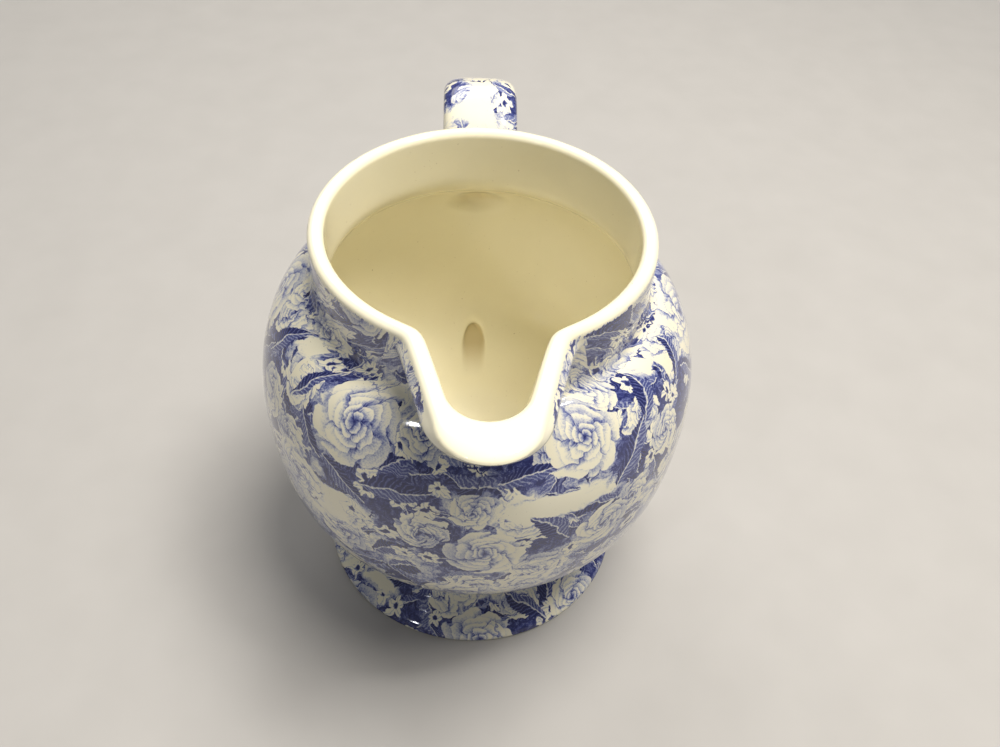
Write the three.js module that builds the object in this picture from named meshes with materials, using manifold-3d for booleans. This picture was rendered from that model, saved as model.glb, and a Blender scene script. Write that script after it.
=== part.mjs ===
// A porcelain cream jug: a full-bellied bowl with an upright neck, a flared pouring spout let into the front of
// the neck, a splayed hollow foot and a strap handle. The four formed pieces are stuck together with thin layers
// of slip (liquid clay), and each slip layer is its own piece. Millimetres, +Z up, the table is z = 0, the spout
// points along -Y and the handle along +Y. The origin is the middle of the footprint box on the table.
import * as THREE from "three";
import { mergeVertices } from "three/addons/utils/BufferGeometryUtils.js";
import Module from "manifold-3d";

const wasm = await Module();
wasm.setup();

// Driving dimensions of the bowl and neck.
const HEIGHT = 103;
const RIM_R = 35.2;
const WALL = 3.3;
const RIM_ROUND = 1.4; // height of the rim's half-round edge
const NECK_H = 14.5;
const BELLY_R = 48.9;
const BELLY_Z = 60;
const CREASE = 2.6; // height of the concave fillet between neck and shoulder

// The foot, and the flat base of the bowl that stands on it.
const BASE_Z = 10.8;
const BASE_R = 28.2;
const FLOOR = 4;
const FOOT_R = 39.2;
const FOOT_TREAD = 3.4; // width of the flat ring that touches the table
const FOOT_BORE_R = 22;

// The pouring spout: seen from above, two straight sides closing towards a round nose.
const SPOUT_REACH = 59.8;
const SPOUT_SIDE_SLOPE = 0.27; // how fast the half width shrinks along the spout
const SPOUT_STEEPNESS = Math.tan((57 * Math.PI) / 180); // of the throat, seen from the side
const NOSE_R = 9.4;
const NOSE_SWELL = 2.3; // the nose is this much blunter under the lip
const INNER_NOSE_R = 7.5;
const LIP_ROLL = 5; // the lip hangs this far out over the line of the throat
const LIP_HANG = 3; // the lip starts to draw in this far below the rim
const LIP_DEPTH = 7; // and has drawn in after this much more
const OUTER_BLEND = 1.2; // how softly the spout's sides run into the neck outside
const INNER_BLEND = 2.2; // and inside
const SPOUT_JOINT_R = 18.5; // the U-shaped cut in the neck that takes the spout

// The handle: a flat strap on a planar path, wider where it meets the bowl.
const STRAP_WIDTH = 17.8;
const STRAP_THICKNESS = 7.6;
const STRAP_CORNER = 3;
const ROOT_FLARE = 0.25;
const ROOT_LENGTH = 0.14; // share of the path over which an end widens
const HANDLE_BACK = 71.6; // from the bowl's axis to the outside of the handle

// Each handle root leaves a shallow dimple inside the wall. A flattened blob sinks it: y and z are the blob's
// centre, which stands a little inside the bowl, and it leans outwards as it rises.
const DIMPLE_R = 3;
const UPPER_DIMPLE = { y: 41, z: 75.9, halfWidth: 7.8, halfHeight: 5.2, lean: -0.4 };
const LOWER_DIMPLE = { y: 35.3, z: 29.7, halfWidth: 4.5, halfHeight: 9, lean: 0.72 };

// Each slip layer is SLIP thick, with a gap on either side.
const GAP = 0.3;
const SLIP = 0.6;

const AXIS_Y = (SPOUT_REACH - HANDLE_BACK) / 2; // the bowl's axis, measured from the footprint's middle
const TURN_SEGMENTS = 60;
const FRONT_CROWDING = 0.6; // pulls the columns of facets towards the spout
const NECK_STEPS = 5;
const RIM_STEPS = 6;
const CREASE_STEPS = 4;
const SHOULDER_STEPS = 5;
const BELLY_STEPS = 8;
const CURVE_STEPS = 4;
const FOOT_SEGMENTS = 48;

const glaze = new THREE.MeshStandardMaterial({ color: 0xe9e6dc, roughness: 0.12, metalness: 0 });
const glazeInside = new THREE.MeshStandardMaterial({ color: 0xf1ead2, roughness: 0.12, metalness: 0 });
const slip = new THREE.MeshStandardMaterial({ color: 0xefe9dc, roughness: 0.3, metalness: 0 });

const clamp01 = (x) => Math.min(1, Math.max(0, x));
const smoothstep = (x) => clamp01(x) ** 2 * (3 - 2 * clamp01(x));
const softMax = (a, b, k) => (a + b + Math.hypot(a - b, k)) / 2;

// ---- Solids ---------------------------------------------------------------------------------------------

function toSolid(geometry) {
  const bare = geometry.index ? geometry.toNonIndexed() : geometry.clone();
  bare.deleteAttribute("normal");
  bare.deleteAttribute("uv");
  const merged = mergeVertices(bare, 1e-3);
  const mesh = new wasm.Mesh({
    numProp: 3,
    vertProperties: merged.attributes.position.array,
    triVerts: new Uint32Array(merged.index.array),
  });
  return new wasm.Manifold(mesh);
}

function toGeometry(solid) {
  const mesh = solid.getMesh();
  const geometry = new THREE.BufferGeometry();
  geometry.setAttribute("position", new THREE.BufferAttribute(mesh.vertProperties, mesh.numProp));
  geometry.setIndex(new THREE.BufferAttribute(mesh.triVerts, 1));
  geometry.computeVertexNormals();
  return geometry;
}

// A solid of revolution about Z, from a profile of Vector2(radius, height) that starts and ends on the axis or
// closes on itself.
function turned(profile, segments = TURN_SEGMENTS) {
  return new THREE.LatheGeometry(profile, segments).rotateX(Math.PI / 2);
}

// ---- The bowl's profile ---------------------------------------------------------------------------------

// The outside line from the base up to the start of the rim's round edge.
function outsideLine() {
  const creaseZ = HEIGHT - NECK_H;
  const belly = new THREE.CubicBezierCurve(
    new THREE.Vector2(BASE_R, BASE_Z),
    new THREE.Vector2(BASE_R + 9.5, BASE_Z + 20.5),
    new THREE.Vector2(BELLY_R, BASE_Z + 14.5),
    new THREE.Vector2(BELLY_R, BELLY_Z),
  );
  const shoulder = new THREE.EllipseCurve(
    RIM_R - 1,
    BELLY_Z,
    BELLY_R - RIM_R + 1,
    creaseZ - BELLY_Z,
    0,
    Math.PI * 0.43,
  );
  const fillet = new THREE.QuadraticBezierCurve(
    shoulder.getPoint(1),
    new THREE.Vector2(RIM_R, creaseZ - 0.4),
    new THREE.Vector2(RIM_R, creaseZ + CREASE),
  );
  const neck = new THREE.LineCurve(
    new THREE.Vector2(RIM_R, creaseZ + CREASE),
    new THREE.Vector2(RIM_R, HEIGHT - RIM_ROUND),
  );
  return [
    ...belly.getPoints(BELLY_STEPS),
    ...shoulder.getPoints(SHOULDER_STEPS).slice(1),
    ...fillet.getPoints(CREASE_STEPS).slice(1),
    ...neck.getPoints(NECK_STEPS).slice(1),
  ];
}

// A line moved sideways by a distance: positive is away from the axis.
function offsetLine(points, distance) {
  return points.map((point, i) => {
    const before = points[Math.max(0, i - 1)];
    const after = points[Math.min(points.length - 1, i + 1)];
    const along = after.clone().sub(before).normalize();
    return new THREE.Vector2(point.x + along.y * distance, point.y - along.x * distance);
  });
}

// The bowl's closed profile. Each point also says how much it belongs to the outside (1) or the inside (0).
function bowlProfile() {
  const floorZ = BASE_Z + FLOOR;
  const outside = outsideLine();
  const inside = offsetLine(outside, -WALL).filter((point) => point.y > floorZ + 7).reverse();
  const rim = [];
  for (let i = 1; i < RIM_STEPS; i++) {
    const angle = (Math.PI * i) / RIM_STEPS;
    const outsideShare = (1 + Math.cos(angle)) / 2;
    const radius = RIM_R - WALL * (1 - outsideShare);
    const z = HEIGHT - RIM_ROUND + RIM_ROUND * Math.sin(angle);
    rim.push({ point: new THREE.Vector2(radius, z), outsideShare });
  }
  const last = inside[inside.length - 1];
  const floorCurve = new THREE.QuadraticBezierCurve(
    last,
    new THREE.Vector2(last.x - 6, floorZ),
    new THREE.Vector2(last.x - 16, floorZ),
  );
  return [
    { point: new THREE.Vector2(0, BASE_Z), outsideShare: 1 },
    ...outside.map((point) => ({ point, outsideShare: 1 })),
    ...rim,
    ...inside.map((point) => ({ point, outsideShare: 0 })),
    ...floorCurve.getPoints(CURVE_STEPS).slice(1).map((point) => ({ point, outsideShare: 0 })),
    { point: new THREE.Vector2(0, floorZ), outsideShare: 0 },
  ];
}

// ---- The spout ------------------------------------------------------------------------------------------

// A level cut through the spout: the distance from the axis at an angle from the front.
function spoutOutline(angle, reach, noseR) {
  const slope = SPOUT_SIDE_SLOPE;
  const lean = Math.hypot(1, slope);
  const noseU = reach - noseR;
  const tangent = Math.atan2(noseR / lean, noseU + (noseR * slope) / lean);
  if (angle < tangent) {
    return noseU * Math.cos(angle) + Math.sqrt(noseR ** 2 - (noseU * Math.sin(angle)) ** 2);
  }
  return (noseR * lean + slope * noseU) / (Math.sin(angle) + slope * Math.cos(angle));
}

// How far the front line of the throat stands from the axis on the inside, at a depth below the rim.
function throatReach(depth) {
  const wallAcross = WALL * Math.hypot(1, 1 / SPOUT_STEEPNESS);
  return SPOUT_REACH - LIP_ROLL - wallAcross - Math.max(0, depth - RIM_ROUND) / SPOUT_STEEPNESS;
}

// The radius of the shell once the spout is let into a round wall of radius `base`.
function withSpout(base, angle, depth, outsideShare) {
  const turn = Math.abs(angle);
  const fade = (1 - smoothstep((turn - 0.6) / 0.4)) * (1 - smoothstep((depth - 20) / 9));
  if (fade === 0) return base;
  const wallAcross = WALL * Math.hypot(1, 1 / SPOUT_STEEPNESS);
  const reach = throatReach(depth);
  const outsideReach = reach + wallAcross + LIP_ROLL * (1 - smoothstep((depth - LIP_HANG) / LIP_DEPTH));
  const outside = spoutOutline(turn, outsideReach, NOSE_R + NOSE_SWELL * smoothstep(depth / LIP_HANG - 0.3));
  const inside = spoutOutline(turn, reach, INNER_NOSE_R);
  const spout = THREE.MathUtils.lerp(inside, outside, outsideShare);
  const softness = THREE.MathUtils.lerp(INNER_BLEND, OUTER_BLEND, outsideShare);
  return base + fade * (softMax(spout, base, softness) - base);
}

// The bowl, neck and spout as one turned shell, pushed out to the front where the spout is.
function shellGeometry() {
  const rows = bowlProfile();
  const geometry = turned(rows.map((row) => row.point));
  const position = geometry.attributes.position;
  for (let i = 0; i < position.count; i++) {
    const { point, outsideShare } = rows[i % rows.length];
    const turn = Math.atan2(position.getX(i), -position.getY(i));
    const angle = turn - FRONT_CROWDING * Math.sin(turn);
    const depth = HEIGHT - point.y;
    const radius = point.x > RIM_R / 2 ? withSpout(point.x, angle, depth, outsideShare) : point.x;
    position.setXY(i, radius * Math.sin(angle), -radius * Math.cos(angle));
  }
  return geometry;
}

// A U-shaped block through the front of the neck, seen along Y. Larger radii nest around smaller ones.
function spoutBlock(radius) {
  const centreZ = HEIGHT - 3;
  const shape = new THREE.Shape();
  shape.moveTo(-radius, HEIGHT + 10);
  shape.lineTo(-radius, centreZ);
  shape.absarc(0, centreZ, radius, Math.PI, 2 * Math.PI, false);
  shape.lineTo(radius, HEIGHT + 10);
  shape.closePath();
  const block = new THREE.ExtrudeGeometry(shape, { depth: 60, bevelEnabled: false, curveSegments: 14 });
  return toSolid(block.rotateX(Math.PI / 2).translate(0, -20, 0));
}

// ---- The foot -------------------------------------------------------------------------------------------

function footGeometry() {
  const topZ = BASE_Z - 2 * GAP - SLIP;
  const skirt = new THREE.CubicBezierCurve(
    new THREE.Vector2(FOOT_R - 0.4, 1.6),
    new THREE.Vector2(FOOT_R - 2.5, 5.2),
    new THREE.Vector2(BASE_R - 0.6, 4.6),
    new THREE.Vector2(BASE_R - 0.4, topZ),
  );
  const treadOut = FOOT_R - 1.3;
  const hollow = new THREE.QuadraticBezierCurve(
    new THREE.Vector2(FOOT_BORE_R, topZ),
    new THREE.Vector2(FOOT_BORE_R + 2, 4.5),
    new THREE.Vector2(treadOut - FOOT_TREAD - 1, 1),
  );
  const profile = [
    new THREE.Vector2(treadOut - FOOT_TREAD, 0),
    new THREE.Vector2(treadOut, 0),
    new THREE.Vector2(FOOT_R - 0.2, 0.5),
    ...skirt.getPoints(SHOULDER_STEPS),
    ...hollow.getPoints(CURVE_STEPS),
    new THREE.Vector2(treadOut - FOOT_TREAD, 0),
  ];
  return turned(profile, FOOT_SEGMENTS);
}

// The slip between the foot and the bowl's flat base.
function footLuteGeometry() {
  const topZ = BASE_Z - GAP;
  const bottomZ = topZ - SLIP;
  const inner = FOOT_BORE_R + 0.3;
  const outer = BASE_R - 0.5;
  const profile = [
    new THREE.Vector2(inner, bottomZ),
    new THREE.Vector2(outer, bottomZ),
    new THREE.Vector2(outer, topZ),
    new THREE.Vector2(inner, topZ),
    new THREE.Vector2(inner, bottomZ),
  ];
  return turned(profile, FOOT_SEGMENTS);
}

// ---- The handle -----------------------------------------------------------------------------------------

// The strap's centre line in the plane x = 0, from inside the wall under the neck, over the top and down to the
// low belly.
function handlePath() {
  const back = HANDLE_BACK - STRAP_THICKNESS / 2;
  return new THREE.CatmullRomCurve3([
    new THREE.Vector3(0, 31, 80.5),
    new THREE.Vector3(0, 38.5, 87),
    new THREE.Vector3(0, 46, 95),
    new THREE.Vector3(0, 55, 98.2),
    new THREE.Vector3(0, 64, 92.5),
    new THREE.Vector3(0, back, 77),
    new THREE.Vector3(0, back - 2.2, 59),
    new THREE.Vector3(0, back - 8.5, 45),
    new THREE.Vector3(0, 52.5, 36.5),
    new THREE.Vector3(0, 44.5, 32),
    new THREE.Vector3(0, 35.5, 30),
  ]);
}

function strapSection() {
  const section = new THREE.Shape();
  const x = STRAP_WIDTH / 2 - STRAP_CORNER;
  const y = STRAP_THICKNESS / 2 - STRAP_CORNER;
  const quarter = Math.PI / 2;
  [[x, y], [-x, y], [-x, -y], [x, -y]].forEach(([cornerX, cornerY], i) => {
    section.absarc(cornerX, cornerY, STRAP_CORNER, i * quarter, (i + 1) * quarter);
  });
  return section;
}

// The strap along its path, with both ends widened by a share `flare` of their size, plus `extra` everywhere.
function strapSolid(extra = 0) {
  const path = handlePath();
  const steps = 28;
  const geometry = new THREE.ExtrudeGeometry(strapSection(), { extrudePath: path, steps, curveSegments: 3 });
  const samples = path.getSpacedPoints(4 * steps);
  const position = geometry.attributes.position;
  const point = new THREE.Vector3();
  for (let i = 0; i < position.count; i++) {
    point.fromBufferAttribute(position, i);
    const flat = new THREE.Vector3(0, point.y, point.z);
    const distances = samples.map((sample) => sample.distanceToSquared(flat));
    const nearest = distances.indexOf(Math.min(...distances));
    const along = nearest / (samples.length - 1);
    const toEnd = Math.min(along, 1 - along) / ROOT_LENGTH;
    const growth = 1 + ROOT_FLARE * (1 - smoothstep(toEnd)) + extra / (STRAP_THICKNESS / 2);
    point.sub(samples[nearest]).multiplyScalar(growth).add(samples[nearest]);
    position.setXYZ(i, point.x, point.y, point.z);
  }
  return toSolid(geometry);
}

// The space the bowl takes up, grown outwards by a distance.
function bowlSpace(distance) {
  const outside = offsetLine(outsideLine(), distance);
  const top = outside[outside.length - 1];
  return toSolid(turned([new THREE.Vector2(0, BASE_Z), ...outside, new THREE.Vector2(0, top.y)]));
}

// The blob, DIMPLE_R thick on either side of its middle.
function dimple({ y, z, halfWidth, halfHeight, lean }) {
  const blob = new THREE.SphereGeometry(1, 16, 10).scale(halfWidth, DIMPLE_R, halfHeight);
  return toSolid(blob.rotateX(-lean).translate(0, y, z));
}

// ---- Assembly -------------------------------------------------------------------------------------------

const jug = new THREE.Group();
jug.position.y = AXIS_Y;

function addPiece(name, geometry, material) {
  const mesh = new THREE.Mesh(geometry, material);
  mesh.name = name;
  jug.add(mesh);
}

const shell = toSolid(shellGeometry());
const spout = shell.intersect(spoutBlock(SPOUT_JOINT_R));
const spoutLuteRing = spoutBlock(SPOUT_JOINT_R + GAP + SLIP).subtract(spoutBlock(SPOUT_JOINT_R + GAP));
const spoutLute = shell.intersect(spoutLuteRing);
const body = shell
  .subtract(spoutBlock(SPOUT_JOINT_R + 2 * GAP + SLIP))
  .subtract(dimple(UPPER_DIMPLE))
  .subtract(dimple(LOWER_DIMPLE));

const strap = strapSolid();
const handle = strap.subtract(bowlSpace(2 * GAP + SLIP));
const slipShell = bowlSpace(GAP + SLIP).subtract(bowlSpace(GAP));
const [upperLute, lowerLute] = strapSolid(0.5)
  .intersect(slipShell)
  .decompose()
  .sort((a, b) => b.boundingBox().max[2] - a.boundingBox().max[2]);

addPiece("jug_body", toGeometry(body), glaze);
addPiece("pouring_spout", toGeometry(spout), glazeInside);
addPiece("spout_lute", toGeometry(spoutLute), slip);
addPiece("foot_ring", footGeometry(), glaze);
addPiece("foot_lute", footLuteGeometry(), slip);
addPiece("handle", toGeometry(handle), glaze);
addPiece("handle_upper_lute", toGeometry(upperLute), slip);
addPiece("handle_lower_lute", toGeometry(lowerLute), slip);

export default jug;
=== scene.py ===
"""A porcelain cream jug in Blender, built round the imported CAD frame.

The fine pieces follow the same curves as the CAD solids. Their joints are closed and filleted, as under
a real glaze. Shapes are in millimetres round the bowl's axis until make_object puts them into the frame.
"""
import math

import bmesh
import bpy
import numpy as np
from mathutils import Matrix, Vector


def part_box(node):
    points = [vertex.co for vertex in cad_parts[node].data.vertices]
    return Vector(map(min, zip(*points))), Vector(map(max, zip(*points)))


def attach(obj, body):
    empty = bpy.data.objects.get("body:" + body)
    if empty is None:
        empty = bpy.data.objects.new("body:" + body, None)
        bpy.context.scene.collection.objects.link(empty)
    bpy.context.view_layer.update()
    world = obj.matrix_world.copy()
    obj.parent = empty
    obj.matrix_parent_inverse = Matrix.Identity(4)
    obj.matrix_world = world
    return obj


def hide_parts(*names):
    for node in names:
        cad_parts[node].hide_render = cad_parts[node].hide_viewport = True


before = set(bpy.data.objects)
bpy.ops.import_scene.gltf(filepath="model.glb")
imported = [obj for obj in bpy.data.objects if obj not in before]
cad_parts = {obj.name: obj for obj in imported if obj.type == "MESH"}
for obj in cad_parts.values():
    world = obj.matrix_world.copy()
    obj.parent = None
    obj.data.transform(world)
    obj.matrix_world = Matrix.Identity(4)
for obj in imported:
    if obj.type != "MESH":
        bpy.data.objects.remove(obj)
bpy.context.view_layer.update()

MM = 0.001


def box_mm(node):
    low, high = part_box(node)
    return np.array(low) / MM, np.array(high) / MM


# ---- Dimensions, from the frame where it states them ----

body_low, body_high = box_mm("jug_body")
spout_low, spout_high = box_mm("pouring_spout")
foot_low, foot_high = box_mm("foot_ring")
_, handle_high = box_mm("handle")

HEIGHT = body_high[2]
AXIS_Y = (body_low[1] + body_high[1]) / 2
BELLY_R = (body_high[0] - body_low[0]) / 2
BASE_Z = body_low[2]
SPOUT_REACH = AXIS_Y - spout_low[1]
SPOUT_JOINT_R = spout_high[0]
FOOT_R = (foot_high[0] - foot_low[0]) / 2
HANDLE_BACK = handle_high[1] - AXIS_Y

# The CAD's own driving dimensions, which the frame doesn't state.
RIM_R = 35.2
WALL = 3.3
RIM_ROUND = 1.4
NECK_H = 14.5
BELLY_Z = 60
CREASE = 2.6
BASE_R = 28.2
FLOOR = 4
FOOT_BORE_R = 22
FOOT_TREAD = 3.4
JOINT_GAP = 0.3  # the CAD leaves this on both sides of every slip layer
SLIP = 0.6

SPOUT_SLOPE = 0.27
SPOUT_STEEPNESS = math.tan(math.radians(57))
NOSE_R = 9.4
NOSE_SWELL = 2.3
INNER_NOSE_R = 7.5
LIP_ROLL = 5
LIP_HANG = 3
LIP_DEPTH = 7
OUTER_BLEND = 1.2
INNER_BLEND = 2.2
SPOUT_SPAN = 1.1  # no part of the spout stands further round than this
SPOUT_BOTTOM = 30  # nor deeper below the rim
SPOUT_FADE_TURN = (1.0, 0.6)  # the spout's shape fades in from the first place to the second
SPOUT_FADE_DEPTH = (29, 20)

STRAP_HALF_WIDTH = 8.9
STRAP_HALF_THICKNESS = 3.8
STRAP_LENGTH = 125  # along its centre line, roughly
ROUNDING_ACROSS, ROUNDING_OUT = 0.56, 0.8  # powers that shape the section; 1 and 1 would be an ellipse
ROOT_FLARE = 0.25
ROOT_LENGTH = 0.14
FILLET = 2.8  # reach of the slip that is wiped round the handle's roots

# The hollows inside the wall behind the handle's roots: middle height, half width, half height and depth.
UPPER_HOLLOW = (76.2, 8.4, 5.4, 1.8)
LOWER_HOLLOW = (28.6, 3.7, 6.8, 2.2)
HOLLOW_WALL_R = 41  # turns an angle into millimetres across a hollow

# Mesh fineness: columns of quads round the jug, and the spacing of the rows.
COLUMNS = 360
TURNED_COLUMNS = 240
STRAP_COLUMNS = 96
STRAP_STATIONS = 221
CROWDING = 0.45  # columns stand closer together at the spout and behind the handle
FINE_ROWS = 0.7
COARSE_ROWS = 1.1
INSIDE_ROWS = 0.85
FLOOR_ROWS = 2.5
CENTRE_R = 1.5  # the floor's rows stop at this radius, where one round face closes them
SHARP_EDGE = math.radians(38)


def smoothstep(x, start, end):
    """0 before start, 1 after end, smooth between; start may be the larger one."""
    x = np.clip((x - start) / (end - start), 0, 1)
    return x * x * (3 - 2 * x)


def soft_max(a, b, k):
    """The larger of the two, with the switch between them rounded off over about k."""
    return (a + b + np.hypot(a - b, k)) / 2


# ---- Plane curves ----

def bezier(controls, steps=60):
    t = np.linspace(0, 1, steps + 1)[:, None]
    points = [np.array(c, float) * np.ones_like(t) for c in controls]
    while len(points) > 1:
        points = [a * (1 - t) + b * t for a, b in zip(points, points[1:])]
    return points[0]


def ellipse_arc(centre, radii, start, end, steps=60):
    t = np.linspace(start, end, steps + 1)
    return np.stack([centre[0] + radii[0] * np.cos(t), centre[1] + radii[1] * np.sin(t)], 1)


def resample(points, spacing):
    """The same line with even steps of about this spacing."""
    lengths = np.concatenate([[0], np.cumsum(np.linalg.norm(np.diff(points, axis=0), axis=1))])
    count = max(2, int(round(lengths[-1] / spacing)) + 1)
    places = np.linspace(0, lengths[-1], count)
    return np.stack([np.interp(places, lengths, points[:, k]) for k in range(points.shape[1])], 1)


def offset_line(points, distance):
    """The line moved sideways; positive is away from the axis."""
    along = np.gradient(points, axis=0)
    along /= np.linalg.norm(along, axis=1)[:, None]
    return points + distance * np.stack([along[:, 1], -along[:, 0]], 1)


def outside_line(bottom_z):
    """Radius and height of the bowl's outside, from its base up to the start of the rim's round edge."""
    crease_z = HEIGHT - NECK_H
    belly = bezier([
        (BASE_R, bottom_z),
        (BASE_R + 9.5, BASE_Z + 20.5),
        (BELLY_R, BASE_Z + 14.5),
        (BELLY_R, BELLY_Z),
    ])
    radii = (BELLY_R - RIM_R + 1, crease_z - BELLY_Z)
    shoulder = ellipse_arc((RIM_R - 1, BELLY_Z), radii, 0, math.pi * 0.43)
    fillet = bezier([shoulder[-1], (RIM_R, crease_z - 0.4), (RIM_R, crease_z + CREASE)], 20)
    neck = bezier([fillet[-1], (RIM_R, HEIGHT - RIM_ROUND)], 2)
    lower = resample(belly, COARSE_ROWS)
    upper = resample(np.concatenate([shoulder, fillet[1:], neck[1:]]), FINE_ROWS)
    return np.concatenate([lower, upper[1:]])


BOTTOM_Z = BASE_Z - JOINT_GAP / 2
OUTSIDE = outside_line(BOTTOM_Z)


def outside_radius(z):
    return np.interp(z, OUTSIDE[:, 1], OUTSIDE[:, 0])


# ---- The spout's shape ----

def spout_outline(turn, reach, nose_r):
    """A level cut through the spout: the distance from the axis at an angle from the front."""
    lean = math.hypot(1, SPOUT_SLOPE)
    nose_u = reach - nose_r
    tangent = np.arctan2(nose_r / lean, nose_u + nose_r * SPOUT_SLOPE / lean)
    inside_root = np.maximum(nose_r ** 2 - (nose_u * np.sin(turn)) ** 2, 0)
    nose = nose_u * np.cos(turn) + np.sqrt(inside_root)
    side = (nose_r * lean + SPOUT_SLOPE * nose_u) / (np.sin(turn) + SPOUT_SLOPE * np.cos(turn))
    return np.where(turn < tangent, nose, side)


def with_spout(base, angle, depth, outside_share):
    """The radius of the shell once the spout is let into a round wall of radius `base`."""
    turn = np.minimum(np.abs(angle), SPOUT_SPAN)
    depth = np.minimum(depth, SPOUT_BOTTOM)
    fade = smoothstep(turn, *SPOUT_FADE_TURN) * smoothstep(depth, *SPOUT_FADE_DEPTH)
    wall_across = WALL * math.hypot(1, 1 / SPOUT_STEEPNESS)
    throat = SPOUT_REACH - LIP_ROLL - wall_across - np.maximum(depth - RIM_ROUND, 0) / SPOUT_STEEPNESS
    outside_reach = throat + wall_across + LIP_ROLL * smoothstep(depth, LIP_HANG + LIP_DEPTH, LIP_HANG)
    outside_nose = NOSE_R + NOSE_SWELL * smoothstep(depth, 0.3 * LIP_HANG, 1.3 * LIP_HANG)
    outside = spout_outline(turn, outside_reach, outside_nose)
    inside = spout_outline(turn, throat, INNER_NOSE_R)
    spout = inside + (outside - inside) * outside_share
    softness = INNER_BLEND + (OUTER_BLEND - INNER_BLEND) * outside_share
    return base + fade * (soft_max(spout, base, softness) - base)


def dimple_depth(angle, z):
    """How far the two hollows behind the handle's roots sink into the inside of the wall."""
    across = HOLLOW_WALL_R * np.abs(np.abs(angle) - math.pi)

    # The upper one is an oval that is deepest near its top.
    middle, half_width, half_height, deepest = UPPER_HOLLOW
    edge = 1 - np.hypot(across / half_width, (z - middle) / half_height)
    upper = deepest * smoothstep(edge, 0, 0.8) * (0.55 + 0.45 * smoothstep(z, 72, 80))

    # The lower one is an arch that widens and fades downwards, under a faint raised lip.
    middle, half_width, half_height, deepest = LOWER_HOLLOW
    half_width = half_width + 0.09 * np.maximum(32 - z, 0)
    edge = 1 - np.hypot(across / half_width, np.maximum(z - middle, 0) / half_height)
    softness = 0.36 + 0.05 * np.maximum(30 - z, 0)
    lower = deepest * smoothstep(edge, 0, softness) * smoothstep(z, 22.5, 31)
    lip = 0.3 * np.exp(-((edge + 0.25) / 0.2) ** 2) * smoothstep(z, 33, 36)
    return upper + lower - lip


# ---- Meshes ----

def new_object(name, data):
    obj = bpy.data.objects.new(name, data)
    bpy.context.scene.collection.objects.link(obj)
    return obj


def make_object(name, vertices, faces):
    """A mesh object in the frame, from vertices in millimetres round the bowl's axis."""
    mesh = bpy.data.meshes.new(name)
    shifted = (np.asarray(vertices, float) + np.array([0, AXIS_Y, 0])) * MM
    mesh.from_pydata(shifted.tolist(), [], [list(map(int, face)) for face in faces])
    mesh.validate()
    mesh.shade_smooth()
    return new_object(name, mesh)


def ring_faces(rows, columns, closed_rows=False):
    """Quads of a grid that closes round its columns."""
    last = rows if closed_rows else rows - 1
    i, j = np.meshgrid(np.arange(last), np.arange(columns), indexing="ij")
    below, above = i * columns, ((i + 1) % rows) * columns
    nxt = (j + 1) % columns
    return np.stack([below + j, below + nxt, above + nxt, above + j], -1).reshape(-1, 4)


def capped_faces(rows, columns):
    """The same grid with one face over each end."""
    first = list(range(columns))[::-1]
    last = [(rows - 1) * columns + k for k in range(columns)]
    return ring_faces(rows, columns).tolist() + [first, last]


def round_points(radius, angle, z):
    """A list of vertices from grids of radius, angle from the front, and height."""
    return np.stack([radius * np.sin(angle), -radius * np.cos(angle), z + 0 * angle], -1).reshape(-1, 3)


def turned(name, profile):
    """A solid of revolution whose profile closes on itself."""
    angle = np.linspace(0, 2 * math.pi, TURNED_COLUMNS, endpoint=False)[None]
    vertices = round_points(profile[:, :1], angle, profile[:, 1:])
    faces = ring_faces(len(profile), TURNED_COLUMNS, closed_rows=True)
    return outward(make_object(name, vertices, faces))


def outward(obj):
    """Turns every face outwards and keeps the real edges sharp."""
    bm = bmesh.new()
    bm.from_mesh(obj.data)
    bmesh.ops.recalc_face_normals(bm, faces=bm.faces)
    bm.to_mesh(obj.data)
    bm.free()
    obj.data.shade_smooth()
    obj.data.set_sharp_from_angle(angle=SHARP_EDGE)
    return obj


def shell_object():
    """The bowl, neck and spout as one closed shell."""
    floor_z = BASE_Z + FLOOR
    inside = offset_line(OUTSIDE, -WALL)
    inside = resample(inside[inside[:, 1] > floor_z + 7][::-1], INSIDE_ROWS)
    last = inside[-1]
    floor_curve = resample(bezier([last, (last[0] - 6, floor_z), (last[0] - 16, floor_z)]), INSIDE_ROWS)[1:]
    floor = resample(np.array([floor_curve[-1], (CENTRE_R, floor_z)]), FLOOR_ROWS)[1:]
    base = resample(np.array([(CENTRE_R, BOTTOM_Z), OUTSIDE[0]]), FLOOR_ROWS)[:-1]
    turn = np.linspace(0, math.pi, 15)[1:-1]
    share = (1 + np.cos(turn)) / 2
    rim = np.stack([RIM_R - WALL * (1 - share), HEIGHT - RIM_ROUND + RIM_ROUND * np.sin(turn)], 1)
    rows = np.concatenate([base, OUTSIDE, rim, inside, floor_curve, floor])
    shares = np.concatenate([
        np.ones(len(base) + len(OUTSIDE)),
        share,
        np.zeros(len(inside) + len(floor_curve) + len(floor)),
    ])
    turn = np.linspace(-math.pi, math.pi, COLUMNS, endpoint=False)
    angle = (turn - CROWDING * np.sin(2 * turn) / 2)[None]
    base_r, z, share = rows[:, :1], rows[:, 1:], shares[:, None]
    radius = np.where(base_r > RIM_R / 2, with_spout(base_r, angle, HEIGHT - z, share), base_r)
    radius = radius + (1 - np.ceil(share)) * dimple_depth(angle, z)
    return make_object("shell", round_points(radius, angle, z), capped_faces(len(rows), COLUMNS))


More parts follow.
